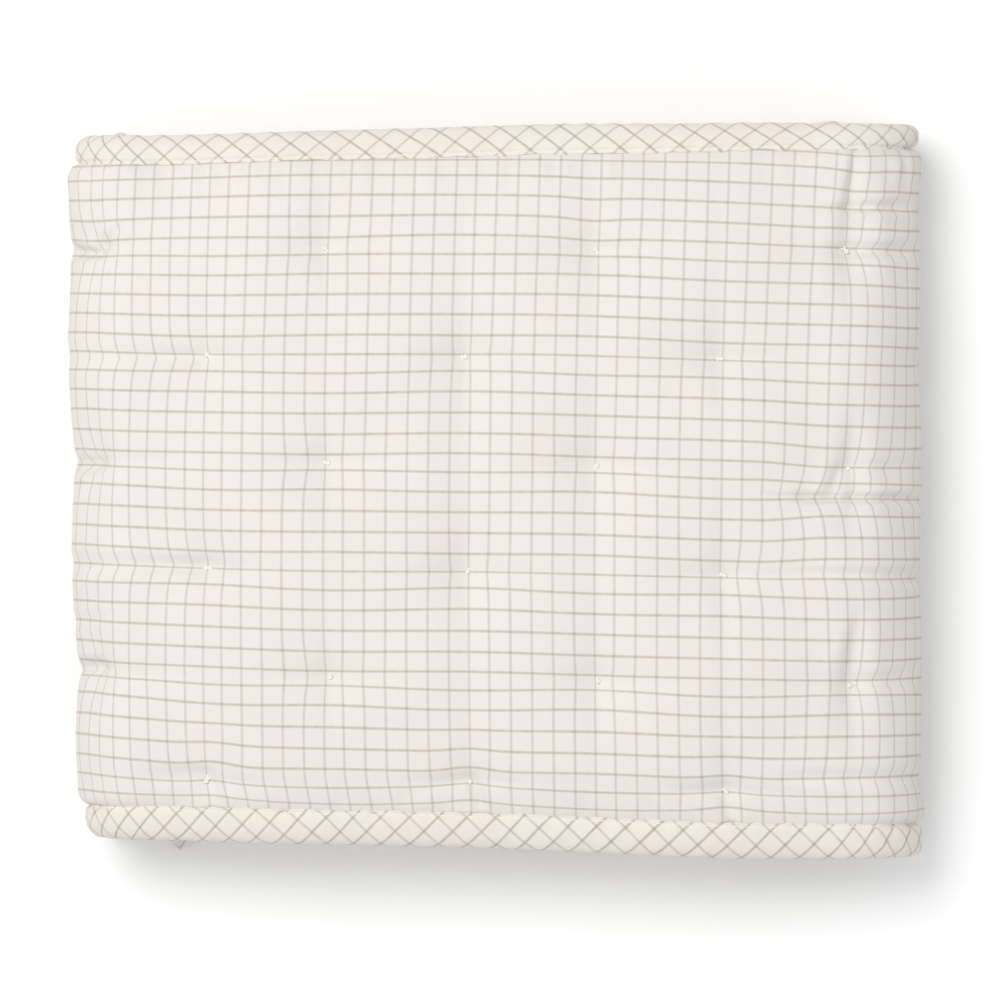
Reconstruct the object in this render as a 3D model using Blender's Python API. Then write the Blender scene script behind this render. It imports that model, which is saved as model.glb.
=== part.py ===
"""A padded crib bumper, folded over and over into four layers, with a bias binding on each long edge.

Run with: blender --background --python part.py
Units are metres and +Z is up. X runs along the folded strip, Y across it, from its foot to its head.

The strip is described flat, by "along" (its length), "across" (its height in a crib) and "out"
(the offset from its middle surface). One section, walked from the end of the bottom layer round the
right fold, the top layer and the left fold to the end hidden in the middle, folds every piece alike.
"""

import math
from collections import namedtuple

import bmesh
import bpy

MM = 0.001
COLLECTION_NAME = "crib_bumper"

# Where the middle of each layer lies above the floor, layer 1 on top, and half its padding.
LAYER_1_Z = 65.5 * MM
LAYER_2_Z = 45.5 * MM
LAYER_3_Z = 27.0 * MM
LAYER_4_Z = 8.3 * MM
TOP_LAYER_HALF = 9.6 * MM
LOWER_LAYER_HALF = 8.3 * MM

# The folds: where they turn, how thin the padding gets in them, and how far from one it recovers.
RIGHT_FOLDS_X = 136.5 * MM
LEFT_FOLD_X = -146.5 * MM
OUTER_FOLD_HALF = 9.0 * MM
INNER_FOLD_HALF = 6.6 * MM
LEFT_FOLD_HALF = 8.6 * MM
FOLD_REACH = 25 * MM
LAYER_4_END_X = -166 * MM
LAYER_2_END_X = -147 * MM

# Across the strip: the panel narrows to a tongue inside the binding.
SEAM_ACROSS = 137 * MM
TONGUE_ACROSS = 146 * MM
TONGUE_HALF = 3.4 * MM
SHOULDER_ACROSS = 104 * MM
SEAM_HALF_SHARE = 0.5
END_TAPER = 16 * MM
END_HALF_SHARE = 0.3

# Tufts: knots that pull both faces together, in two staggered sets of rows.
TUFT_COLUMN_PITCH = 53.25 * MM
TUFT_ROW_PITCH = 44.2 * MM
TOP_TUFT_ROW = 99.3 * MM
TUFT_ROWS = 6
MIDDLE_COLUMN_X = -13 * MM
LEFT_FOLD_COLUMN_PULL = 15 * MM
TUFT_PIT_SHARE = 0.58
TUFT_PIT_REACH = 14 * MM
FLOOR_PRESS = 1.25  # the lowest face would swell this much further if the floor didn't flatten it

# The binding's U: points of its outer face from the seam round the edge, and its cloth.
BindingPoint = namedtuple("BindingPoint", "across outer inner_across inner")
BINDING_HALF_SECTION = (
    BindingPoint(137.4 * MM, 5.3 * MM, 137.4 * MM, 4.0 * MM),
    BindingPoint(142.5 * MM, 6.1 * MM, 142.5 * MM, 4.4 * MM),
    BindingPoint(147.8 * MM, 4.3 * MM, 147.0 * MM, 3.9 * MM),
)
BINDING_EDGE = BindingPoint(150 * MM, 0.0, 148.3 * MM, 0.0)

# How finely the strip is divided.
FLAT_STEP = TUFT_COLUMN_PITCH / 3
SHORTEST_STEP = 6 * MM
OUTER_FOLD_STEPS = 12
LEFT_FOLD_STEPS = 10
INNER_FOLD_STEPS = 8

# The unevenness that shows: the strip drawn in at the left fold and wavering along its length, the
# whole heap a little askew, its edges and folds sunk, and two soft creases from an earlier folding.
DRAWN_IN_SCALE = 0.972
FULL_SCALE = 1.014
FULL_SCALE_X = 110 * MM
FREE_END_SCALE = 1.0
WAVER = 0.7 * MM
WAVER_LENGTH = 230 * MM
LEAN_X_PER_Y = -0.016
LEAN_Y_PER_X = -0.005
EDGE_SINK_SHARE = 0.12
EDGE_SINK_POWER = 3
FOLD_SINK_SHARE = 0.07
FOLD_SINK_REACH = 55 * MM
CREASE_HALF_WIDTH = 22 * MM
Crease = namedtuple("Crease", "x depth")
CREASES = (
    Crease(-12 * MM, 2.0 * MM),
    Crease(41 * MM, 1.6 * MM),
)

Segment = namedtuple("Segment", "name run radius half steps")
Station = namedtuple("Station", "along x z out_x out_z half scale flat")


def smooth(share):
    """Ease from 0 to 1."""
    share = min(max(share, 0.0), 1.0)
    return share * share * (3 - 2 * share)


def segments():
    """The section's flat runs and folds, in the order a walk along the strip meets them."""
    outer_radius = (LAYER_1_Z - LAYER_4_Z) / 2
    left_radius = (LAYER_1_Z - LAYER_3_Z) / 2
    inner_radius = (LAYER_2_Z - LAYER_3_Z) / 2
    between_folds = RIGHT_FOLDS_X - LEFT_FOLD_X
    return (
        Segment("layer_4", RIGHT_FOLDS_X - LAYER_4_END_X, None, LOWER_LAYER_HALF, None),
        Segment("outer_fold", None, outer_radius, OUTER_FOLD_HALF, OUTER_FOLD_STEPS),
        Segment("layer_1", between_folds, None, TOP_LAYER_HALF, None),
        Segment("left_fold", None, left_radius, LEFT_FOLD_HALF, LEFT_FOLD_STEPS),
        Segment("layer_3", between_folds, None, LOWER_LAYER_HALF, None),
        Segment("inner_fold", None, inner_radius, INNER_FOLD_HALF, INNER_FOLD_STEPS),
        Segment("layer_2", RIGHT_FOLDS_X - LAYER_2_END_X, None, LOWER_LAYER_HALF, None),
    )


def length_of(segment):
    """How much of the strip's middle a segment takes."""
    if segment.radius is None:
        return segment.run
    return math.pi * segment.radius


def middle_column_along():
    """Where along the strip the tuft column in the middle of the top layer is."""
    layer_4, outer_fold = segments()[:2]
    return length_of(layer_4) + length_of(outer_fold) + RIGHT_FOLDS_X - MIDDLE_COLUMN_X


def divisions(segment, start):
    """Distances into a segment at which the strip has a station, its far end left to the next."""
    length = length_of(segment)
    if segment.radius is not None:
        return [length * step / segment.steps for step in range(segment.steps)]
    first = math.ceil((start + SHORTEST_STEP - middle_column_along()) / FLAT_STEP)
    last = math.floor((start + length - SHORTEST_STEP - middle_column_along()) / FLAT_STEP)
    inner = [middle_column_along() + step * FLAT_STEP - start for step in range(first, last + 1)]
    return [0.0] + inner


def half_at(index, into):
    """Half the padding's thickness, easing from a run's own to that of the folds at its ends."""
    row = segments()
    segment = row[index]
    if segment.radius is not None:
        return segment.half
    before = row[index - 1].half if index > 0 else segment.half * END_HALF_SHARE
    after = row[index + 1].half if index + 1 < len(row) else segment.half * END_HALF_SHARE
    reach_before = FOLD_REACH if index > 0 else END_TAPER
    reach_after = FOLD_REACH if index + 1 < len(row) else END_TAPER
    half = before + (segment.half - before) * smooth(into / reach_before)
    return half + (after - segment.half) * smooth(1 - (segment.run - into) / reach_after)


def scale_at(name, x):
    """The strip's height against its cut height: drawn in at the left fold, full at the right."""
    left_scale = FREE_END_SCALE if name == "layer_4" else DRAWN_IN_SCALE
    share = (x - LEFT_FOLD_X) / (FULL_SCALE_X - LEFT_FOLD_X)
    return left_scale + (FULL_SCALE - left_scale) * smooth(share)


def step_along(segment, x, z, heading, into):
    """The heading and place reached some way into a segment that starts at x, z."""
    if segment.radius is None:
        return heading, x + into * math.cos(heading), z + into * math.sin(heading)
    turned = heading + into / segment.radius
    reached_x = x + segment.radius * (math.sin(turned) - math.sin(heading))
    reached_z = z - segment.radius * (math.cos(turned) - math.cos(heading))
    return turned, reached_x, reached_z


def walk():
    """Every station of the folded section, each fold a half turn to the left of the one before."""
    stations = []
    x, z, heading, start = LAYER_4_END_X, LAYER_4_Z, 0.0, 0.0
    for index, segment in enumerate(segments()):
        length = length_of(segment)
        stops = divisions(segment, start)
        if index + 1 == len(segments()):
            stops.append(length)
        for into in stops:
            turned, at_x, at_z = step_along(segment, x, z, heading, into)
            stations.append(Station(
                along=start + into,
                x=at_x,
                z=at_z,
                out_x=math.sin(turned),
                out_z=-math.cos(turned),
                half=half_at(index, into),
                scale=scale_at(segment.name, at_x),
                flat=segment.radius is None,
            ))
        heading, x, z = step_along(segment, x, z, heading, length)
        start += length
    return stations


def tufts(stations):
    """Each tuft's place along and across the strip, along snapped to a station."""
    total = stations[-1].along
    middle = middle_column_along()
    first = math.ceil(-middle / TUFT_COLUMN_PITCH)
    last = math.floor((total - middle) / TUFT_COLUMN_PITCH)
    left_fold_column = math.ceil((RIGHT_FOLDS_X - LEFT_FOLD_X) / 2 / TUFT_COLUMN_PITCH)
    places = []
    for column in range(first, last + 1):
        wanted = middle + column * TUFT_COLUMN_PITCH
        if column == left_fold_column:
            wanted -= LEFT_FOLD_COLUMN_PULL
        along = min((station.along for station in stations), key=lambda a: abs(a - wanted))
        for row in range(TUFT_ROWS):
            if (row + column) % 2 == 1:
                places.append((along, TOP_TUFT_ROW - row * TUFT_ROW_PITCH))
    return places


def lanes():
    """The panel's divisions across, from the foot to the head, with a line through every tuft row."""
    bottom_row = TOP_TUFT_ROW - (TUFT_ROWS - 1) * TUFT_ROW_PITCH
    half_pitch = TUFT_ROW_PITCH / 2
    rows = [bottom_row + step * half_pitch for step in range(2 * TUFT_ROWS)]
    shoulder = (rows[-1] + SEAM_ACROSS) / 2
    return [-TONGUE_ACROSS, -SEAM_ACROSS] + rows + [shoulder, SEAM_ACROSS, TONGUE_ACROSS]


def crown(across):
    """The padding's share of its full thickness, rounding down from the shoulder to the seam."""
    into = (abs(across) - SHOULDER_ACROSS) / (SEAM_ACROSS - SHOULDER_ACROSS)
    into = min(max(into, 0.0), 1.0)
    return math.sqrt(1 - into * into * (1 - SEAM_HALF_SHARE ** 2))


def quilting(along, across, places):
    """The padding's share left by the tufts nearby, least at a knot."""
    nearest = min(math.hypot(along - a, across - b) for a, b in places)
    return 1 - TUFT_PIT_SHARE * math.exp(-nearest / TUFT_PIT_REACH)


def settle(x, y, z):
    """The heap as it lies: edges and folds sunk, two soft creases, a little askew, flat below."""
    sink = EDGE_SINK_SHARE * (abs(y) / SEAM_ACROSS) ** EDGE_SINK_POWER
    past_flat = max(x - RIGHT_FOLDS_X, LEFT_FOLD_X - x) + FOLD_SINK_REACH
    sink += FOLD_SINK_SHARE * smooth(past_flat / FOLD_SINK_REACH)
    for crease in CREASES:
        distance = abs(x - crease.x) / CREASE_HALF_WIDTH
        fade = 1 - smooth(abs(y) / SEAM_ACROSS)
        sink += crease.depth / LAYER_1_Z * (1 - smooth(distance)) * fade
    askew_x = x + LEAN_X_PER_Y * y
    askew_y = y + LEAN_Y_PER_X * x
    return askew_x, askew_y, max(z * (1 - sink), 0.0)


def on_fold(station, across, out):
    """A point of the flat strip, put where the folded strip has it."""
    waver = WAVER * math.sin(2 * math.pi * station.along / WAVER_LENGTH)
    return settle(
        station.x + out * station.out_x,
        across * station.scale + waver,
        station.z + out * station.out_z,
    )


def slab(name, columns, rows, place):
    """A closed slab: a grid extruded once, each of whose points is then put in its place."""
    shape = bmesh.new()
    bmesh.ops.create_grid(shape, x_segments=columns - 1, y_segments=rows - 1, size=1)
    column_of = shape.verts.layers.int.new("column")
    row_of = shape.verts.layers.int.new("row")
    side_of = shape.verts.layers.int.new("side")
    for vert in shape.verts:
        vert[column_of] = round((vert.co.x + 1) / 2 * (columns - 1))
        vert[row_of] = round((vert.co.y + 1) / 2 * (rows - 1))
    extruded = bmesh.ops.extrude_face_region(shape, geom=shape.faces[:])
    for vert in extruded["geom"]:
        if isinstance(vert, bmesh.types.BMVert):
            vert[side_of] = 1
    for vert in shape.verts:
        vert.co = place(vert[column_of], vert[row_of], vert[side_of])
    bmesh.ops.recalc_face_normals(shape, faces=shape.faces[:])
    if shape.calc_volume(signed=True) < 0:
        bmesh.ops.reverse_faces(shape, faces=shape.faces[:])
    mesh = bpy.data.meshes.new(name)
    shape.to_mesh(mesh)
    shape.free()
    mesh.shade_smooth()
    return bpy.data.objects.new(name, mesh)


def make_panel(stations):
    """The quilted panel, one filled solid with its tufts' pits and drawn-in edges."""
    across_lines = lanes()
    knots = tufts(stations)

    def place(column, row, side):
        station = stations[column]
        across = across_lines[row]
        half = min(station.half, TONGUE_HALF)
        if abs(across) < TONGUE_ACROSS:
            full = station.half * crown(across) * quilting(station.along, across, knots)
            on_floor = side and station.flat and station.z < LAYER_3_Z / 2
            full *= FLOOR_PRESS if on_floor else 1.0
            half = max(full, half) if abs(across) < SEAM_ACROSS else half
        return on_fold(station, across, half if side else -half)

    return slab("padded_panel", len(stations), len(across_lines), place)


def binding_stations(stations):
    """Fewer stations for the plain binding: every other one where the strip lies level."""
    level_from = LEFT_FOLD_X + FOLD_SINK_REACH
    level_to = RIGHT_FOLDS_X - FOLD_SINK_REACH
    kept = []
    skipped = False
    for station in stations:
        skipped = level_from < station.x < level_to and not skipped
        if not skipped:
            kept.append(station)
    return kept


def make_binding(name, stations, edge_side):
    """A strip wrapped in a U over one long edge: edge_side is 1 at the head and -1 at the foot."""
    upper = [(p.across, p.outer, p.inner_across, p.inner) for p in BINDING_HALF_SECTION]
    edge = [(BINDING_EDGE.across, 0.0, BINDING_EDGE.inner_across, 0.0)]
    lower = [(a, -outer, b, -inner) for a, outer, b, inner in reversed(upper)]
    section = upper + edge + lower

    def place(column, row, side):
        outer_across, outer, inner_across, inner = section[row]
        across = inner_across if side else outer_across
        return on_fold(stations[column], edge_side * across, inner if side else outer)

    return slab(name, len(stations), len(section), place)


def cloth(name, colour, roughness):
    """A plain cloth finish."""
    material = bpy.data.materials.new(name)
    material.use_nodes = True
    shader = material.node_tree.nodes["Principled BSDF"]
    shader.inputs["Base Color"].default_value = (*colour, 1)
    shader.inputs["Roughness"].default_value = roughness
    shader.inputs["Metallic"].default_value = 0.0
    return material


def clear_scene():
    """Take away whatever the file held."""
    for item in list(bpy.data.objects):
        bpy.data.objects.remove(item, do_unlink=True)


def stand_on_origin(pieces):
    """Shift the pieces together so that the middle of their box is over the origin."""
    points = [vert.co for piece in pieces for vert in piece.data.vertices]
    middle_x = (min(p.x for p in points) + max(p.x for p in points)) / 2
    middle_y = (min(p.y for p in points) + max(p.y for p in points)) / 2
    for piece in pieces:
        for vert in piece.data.vertices:
            vert.co.x -= middle_x
            vert.co.y -= middle_y


def main():
    """Make the folded bumper."""
    clear_scene()
    collection = bpy.data.collections.new(COLLECTION_NAME)
    bpy.context.scene.collection.children.link(collection)
    stations = walk()
    fewer = binding_stations(stations)
    check_cotton = cloth("check_cotton", (0.86, 0.83, 0.78), 0.9)
    bias_cotton = cloth("bias_cotton", (0.87, 0.84, 0.77), 0.88)
    panel = make_panel(stations)
    binding_top = make_binding("binding_top", fewer, 1)
    binding_bottom = make_binding("binding_bottom", fewer, -1)
    pieces = (panel, binding_top, binding_bottom)
    finishes = (check_cotton, bias_cotton, bias_cotton)
    for piece, finish in zip(pieces, finishes):
        piece.data.materials.append(finish)
        collection.objects.link(piece)
    stand_on_origin(pieces)


main()
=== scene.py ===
"""The looks of a padded crib bumper, folded over and over into four layers and lying flat.

The strip is described flat: "along" is its length, "across" its height in a crib, and "out" the
offset from its middle surface. One section folds the padded panel, the bindings and the threads alike.
Cloth is simulated flat, between the seams and the knots that hold it, and then folded with the rest.
Lengths are in metres, but in tables, and where a name ends in MM, they are in millimetres.
"""

import math
from collections import namedtuple

import bpy
import numpy as np
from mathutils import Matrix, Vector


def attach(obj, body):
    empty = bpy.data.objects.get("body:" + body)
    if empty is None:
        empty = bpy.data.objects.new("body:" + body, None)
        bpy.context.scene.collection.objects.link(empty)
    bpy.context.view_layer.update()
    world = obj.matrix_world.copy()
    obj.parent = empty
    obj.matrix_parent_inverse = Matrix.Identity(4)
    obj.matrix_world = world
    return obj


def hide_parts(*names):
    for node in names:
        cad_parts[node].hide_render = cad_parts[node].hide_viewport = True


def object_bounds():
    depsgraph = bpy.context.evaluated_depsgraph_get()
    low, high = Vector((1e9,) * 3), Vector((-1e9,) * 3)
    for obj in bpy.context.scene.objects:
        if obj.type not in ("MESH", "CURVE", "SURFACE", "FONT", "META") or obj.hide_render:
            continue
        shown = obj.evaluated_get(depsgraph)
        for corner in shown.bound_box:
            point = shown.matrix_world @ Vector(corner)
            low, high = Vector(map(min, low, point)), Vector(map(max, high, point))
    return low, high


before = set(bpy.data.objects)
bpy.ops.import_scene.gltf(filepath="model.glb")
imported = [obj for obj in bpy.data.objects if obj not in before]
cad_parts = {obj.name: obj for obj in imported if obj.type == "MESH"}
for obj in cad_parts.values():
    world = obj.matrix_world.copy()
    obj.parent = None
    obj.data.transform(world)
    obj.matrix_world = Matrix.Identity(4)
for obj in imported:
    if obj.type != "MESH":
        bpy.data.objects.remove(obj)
CAD_LOW, CAD_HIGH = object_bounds()

MM = 0.001
SEED = 7


def table(columns, *rows):
    """Rows of numbers with named columns."""
    row_of = namedtuple("Row", columns)
    return [row_of(*row) for row in rows]


def metres(rows, column):
    """One column of a table, in metres."""
    return np.array([getattr(row, column) for row in rows]) * MM


def smooth(share):
    """Ease from 0 to 1."""
    share = np.clip(share, 0.0, 1.0)
    return share * share * (3 - 2 * share)


def ramp(place, start, over):
    """Ease from 0 at the start to 1 where the ramp is over."""
    return smooth((place - start) / over)


def bell(distance, width):
    """1 at nought, and less and less on both sides of it."""
    return np.exp(-(distance / width) ** 2)


def totals(steps):
    """Running totals, from nought."""
    return np.concatenate([[0.0], np.cumsum(steps)])


# ---- the folded strip, as the solids have it

LAYER_1_Z = 65.5 * MM
LAYER_2_Z = 45.5 * MM
LAYER_3_Z = 27.0 * MM
LAYER_4_Z = 8.3 * MM
TOP_LAYER_HALF = 9.6 * MM
LOWER_LAYER_HALF = 8.3 * MM
RIGHT_FOLDS_X = 136.5 * MM
LEFT_FOLD_X = -146.5 * MM
OUTER_FOLD_HALF = 9.0 * MM
INNER_FOLD_HALF = 6.6 * MM
LEFT_FOLD_HALF = 8.6 * MM
FOLD_REACH = 25 * MM
LAYER_4_END_X = -166 * MM
LAYER_2_END_X = -147 * MM
SEAM_ACROSS = 137 * MM
TONGUE_ACROSS = 146 * MM
TONGUE_HALF = 3.2 * MM
END_TAPER = 16 * MM
END_HALF_SHARE = 0.3
MIDDLE_COLUMN_X = -13 * MM
TUFT_COLUMN_PITCH = 53.25 * MM
TUFT_ROW_PITCH = 44.2 * MM
TOP_TUFT_ROW = 99.3 * MM
TUFT_ROWS = 6
FLOOR_PRESS = 1.25
DRAWN_IN_SCALE = 0.972
FULL_SCALE = 1.014
FULL_SCALE_X = 110 * MM
WAVER = 0.7 * MM
WAVER_LENGTH = 230 * MM
LEAN_X_PER_Y = -0.016
LEAN_Y_PER_X = -0.005
SHIFT_Y = 0.6 * MM
EDGE_SINK_SHARE = 0.12
EDGE_SINK_POWER = 3
FOLD_SINK_SHARE = 0.07
FOLD_SINK_REACH = 55 * MM
CREASE_HALF_WIDTH = 22 * MM
CREASES = table("x depth", (-12, 2.0), (41, 1.6))
LENGTH_SAMPLES = 4001

Segment = namedtuple("Segment", "name run radius half")
Placed = namedtuple("Placed", "segment start x z heading")
Section = namedtuple("Section", "x z out_x out_z half scale")

SEGMENTS = (
    Segment("layer_4", RIGHT_FOLDS_X - LAYER_4_END_X, None, LOWER_LAYER_HALF),
    Segment("outer_fold", None, (LAYER_1_Z - LAYER_4_Z) / 2, OUTER_FOLD_HALF),
    Segment("layer_1", RIGHT_FOLDS_X - LEFT_FOLD_X, None, TOP_LAYER_HALF),
    Segment("left_fold", None, (LAYER_1_Z - LAYER_3_Z) / 2, LEFT_FOLD_HALF),
    Segment("layer_3", RIGHT_FOLDS_X - LEFT_FOLD_X, None, LOWER_LAYER_HALF),
    Segment("inner_fold", None, (LAYER_2_Z - LAYER_3_Z) / 2, INNER_FOLD_HALF),
    Segment("layer_2", RIGHT_FOLDS_X - LAYER_2_END_X, None, LOWER_LAYER_HALF),
)


def length_of(segment):
    """How much of the strip's middle a segment takes."""
    return segment.run if segment.radius is None else math.pi * segment.radius


def place_segments():
    """Each segment with the place and heading at which the walk along the strip meets it."""
    placed = []
    x, z, heading, start = LAYER_4_END_X, LAYER_4_Z, 0.0, 0.0
    for segment in SEGMENTS:
        placed.append(Placed(segment, start, x, z, heading))
        if segment.radius is None:
            x += segment.run * math.cos(heading)
            z += segment.run * math.sin(heading)
        else:
            z += 2 * segment.radius * math.cos(heading)
            heading += math.pi
        start += length_of(segment)
    return placed, start


PLACED, STRIP_LENGTH = place_segments()
START = {placed.segment.name: placed.start for placed in PLACED}
MIDDLE_ALONG = START["layer_1"] + RIGHT_FOLDS_X - MIDDLE_COLUMN_X


def half_in(index, into):
    """Half the padding's thickness, easing from a run's own to that of the folds at its ends."""
    segment = SEGMENTS[index]
    if segment.radius is not None:
        return np.full_like(into, segment.half)
    first, last = index == 0, index + 1 == len(SEGMENTS)
    before = segment.half * END_HALF_SHARE if first else SEGMENTS[index - 1].half
    after = segment.half * END_HALF_SHARE if last else SEGMENTS[index + 1].half
    reach_before = END_TAPER if first else FOLD_REACH
    reach_after = END_TAPER if last else FOLD_REACH
    half = before + (segment.half - before) * smooth(into / reach_before)
    return half + (after - segment.half) * smooth(1 - (segment.run - into) / reach_after)


def section_at(along):
    """The folded section at some distances along the strip."""
    along = np.clip(np.asarray(along, float), 0.0, STRIP_LENGTH)
    x, z, heading, half = (np.zeros_like(along) for _ in range(4))
    for index, placed in enumerate(PLACED):
        here = along >= placed.start
        into = along[here] - placed.start
        radius = placed.segment.radius
        if radius is None:
            turned = np.full_like(into, placed.heading)
            x[here] = placed.x + into * math.cos(placed.heading)
            z[here] = placed.z + into * math.sin(placed.heading)
        else:
            turned = placed.heading + into / radius
            x[here] = placed.x + radius * (np.sin(turned) - math.sin(placed.heading))
            z[here] = placed.z - radius * (np.cos(turned) - math.cos(placed.heading))
        heading[here] = turned
        half[here] = half_in(index, into)
    full = ramp(x, LEFT_FOLD_X, FULL_SCALE_X - LEFT_FOLD_X)
    scale = DRAWN_IN_SCALE + (FULL_SCALE - DRAWN_IN_SCALE) * full
    return Section(x, z, np.sin(heading), -np.cos(heading), half, scale)


def cloth_lengths():
    """Where each face's cloth lies along the strip, measured on the cloth from the middle column."""
    along = np.linspace(0.0, STRIP_LENGTH, LENGTH_SAMPLES)
    bend = np.zeros_like(along)
    for placed in PLACED:
        radius = placed.segment.radius
        bend[along >= placed.start] = 0.0 if radius is None else placed.segment.half / radius
    step = along[1] - along[0]
    lengths = {}
    for side in (1, -1):
        rate = 1 + side * bend
        length = totals((rate[1:] + rate[:-1]) / 2 * step)
        lengths[side] = length - np.interp(MIDDLE_ALONG, along, length)
    return along, lengths


FINE_ALONG, CLOTH_LENGTH = cloth_lengths()

# The heap lies a little fuller at its folds than its solids do.
LEFT_FULLNESS = 0.20
RIGHT_END_FULLNESS = 0.26
RIGHT_END_FROM = 116 * MM
RIGHT_END_OVER = 16 * MM
BINDING_END_FULLNESS = 0.34
BINDING_END_FROM = 134 * MM
BINDING_END_OVER = 6 * MM
RIGHT_SPREAD = 2.4 * MM
RIGHT_SPREAD_LEAN = 0.010
RIGHT_SPREAD_FROM = 60 * MM
RIGHT_SPREAD_OVER = 90 * MM


def half_way_round(name, along, reach=0.0):
    """From 0 at the ends of a fold, or a reach before and after them, to 1 half-way round it."""
    placed = next(item for item in PLACED if item.segment.name == name)
    into = (along - placed.start + reach) / (length_of(placed.segment) + 2 * reach)
    return np.sin(math.pi * np.clip(into, 0.0, 1.0))


def fullness(along, across):
    """How much the padding swells round the left fold, and at the ends of the outer one."""
    edge = np.abs(across)
    at_edge = RIGHT_END_FULLNESS * ramp(edge, RIGHT_END_FROM, RIGHT_END_OVER)
    at_binding = BINDING_END_FULLNESS * ramp(edge, BINDING_END_FROM, BINDING_END_OVER)
    left = LEFT_FULLNESS * half_way_round("left_fold", along)
    return 1 + left + (at_edge + at_binding) * half_way_round("outer_fold", along)


def settle(x, y, z):
    """The heap as it lies: edges and folds sunk, two soft creases, a little askew, flat below."""
    sink = EDGE_SINK_SHARE * (np.abs(y) / SEAM_ACROSS) ** EDGE_SINK_POWER
    past_flat = np.maximum(x - RIGHT_FOLDS_X, LEFT_FOLD_X - x) + FOLD_SINK_REACH
    sink = sink + FOLD_SINK_SHARE * smooth(past_flat / FOLD_SINK_REACH)
    for crease in CREASES:
        near = 1 - smooth(np.abs(x - crease.x * MM) / CREASE_HALF_WIDTH)
        sink = sink + crease.depth * MM / LAYER_1_Z * near * (1 - smooth(np.abs(y) / SEAM_ACROSS))
    spread = (RIGHT_SPREAD + RIGHT_SPREAD_LEAN * y) * ramp(x, RIGHT_SPREAD_FROM, RIGHT_SPREAD_OVER)
    askew_x = x + spread + LEAN_X_PER_Y * y
    askew_y = y + LEAN_Y_PER_X * x + SHIFT_Y
    return np.stack([askew_x, askew_y, np.maximum(z * (1 - sink), 0.0)], axis=-1)


# Here and there the lowest layer's edge shows past the layers above it.
PEEK_FROM = 120 * MM
PEEKS = table(
    "x edge amount half_width",
    (-134, -1, 7.6, 5.0),
    (-156, 1, 3.0, 4.5),
    (139, 1, 1.5, 6.0),
)

HEAD_RISE = 1.4 * MM
HEAD_RISE_X = -85 * MM
HEAD_RISE_WIDTH = 50 * MM
HEAD_RISE_FROM = 95 * MM
HEAD_RISE_OVER = 40 * MM

# The head seam runs nearer the edge than the foot seam does, most of all to the right.
HEAD_SEAM_RISES = table(
    "x by",
    (-170, 1.9), (-80, 2.3), (-10, 2.0), (60, 2.3), (120, 3.7), (170, 3.7),
)
SEAM_RISE_FROM = 108 * MM
SEAM_RISE_FADES_FROM = 136 * MM
SEAM_RISE_FADES_OVER = 14 * MM
RIGHT_RISE = 0.9 * MM
RIGHT_RISE_FROM = 70 * MM
RIGHT_RISE_OVER = 50 * MM


def head_rise(x, across):
    """How far the head edge bows out, left of the middle."""
    near_edge = ramp(across, HEAD_RISE_FROM, HEAD_RISE_OVER)
    return HEAD_RISE * bell(x - HEAD_RISE_X, HEAD_RISE_WIDTH) * near_edge


def read_off(rows, x):
    """What a table of x and by gives at some places, in metres."""
    return np.interp(x, metres(rows, "x"), metres(rows, "by"))


def seam_rise(x, across):
    """How far the cloth near the head seam is drawn towards the head edge."""
    before = ramp(across, SEAM_RISE_FROM, SEAM_ACROSS - SEAM_RISE_FROM)
    fades = 1 - ramp(across, SEAM_RISE_FADES_FROM, SEAM_RISE_FADES_OVER)
    right = RIGHT_RISE * ramp(x, RIGHT_RISE_FROM, RIGHT_RISE_OVER) * before
    return read_off(HEAD_SEAM_RISES, x) * before * fades + right


def peeking(along, across):
    """How far the lowest layer's edge is pushed out."""
    total = 0.0
    for peek in PEEKS:
        near = bell(along + LAYER_4_END_X - peek.x * MM, peek.half_width * MM)
        near_edge = ramp(peek.edge * across, PEEK_FROM, TONGUE_ACROSS - PEEK_FROM)
        total = total + peek.edge * peek.amount * MM * near * near_edge
    return total


def waver(along):
    """How far the strip wanders sideways along its length."""
    return WAVER * np.sin(2 * math.pi * along / WAVER_LENGTH)


def on_fold(along, across, out):
    """Points of the flat strip, put where the folded strip has them."""
    place = section_at(along)
    out = out * fullness(along, across)
    across = across + peeking(along, across)
    height = (across + head_rise(place.x, across) + seam_rise(place.x, across)) * place.scale
    return settle(place.x + out * place.out_x, height + waver(along), place.z + out * place.out_z)


# ---- where the knots are

# The seven columns of knots that show, and the next to each side, from the middle one along the strip.
SEEN_COLUMNS = table(
    "number along valley lean",
    (-4, -213.0, 0.15, 0),
    (-3, -155.8, 0.15, 0),
    (-2, -105.9, 0.10, 0),
    (-1, -54.7, 0.11, -0.010),
    (0, -1.0, 0.12, -0.006),
    (1, 56.3, 0.05, -0.005),
    (2, 106.4, 0.04, -0.019),
    (3, 148.6, 0.07, -0.02),
    (4, 213.0, 0.15, 0),
)
SEEN = {column.number: column for column in SEEN_COLUMNS}
HIDDEN_VALLEY = 0.15
COLUMN_FROM_END = 8 * MM

# The rows of knots as they show on the folded strip: nearly level, and a little wider apart to the right.
KNOTS_MIDDLE = -11.5 * MM
KNOTS_LEAN = -0.0125
KNOTS_PITCH = 44.41 * MM
KNOTS_PITCH_LEAN = 0.003
STRAY_KNOT = (0, 5)
STRAY_BY = 2.0 * MM


def tied_rows(column):
    """The numbers of a column's rows of knots, staggered against the next column's."""
    return [row for row in range(TUFT_ROWS) if (row + column) % 2 == 1]


def knot_rows(column):
    """How far across the flat strip a column's knots are."""
    return [TOP_TUFT_ROW - row * TUFT_ROW_PITCH for row in tied_rows(column)]


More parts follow.
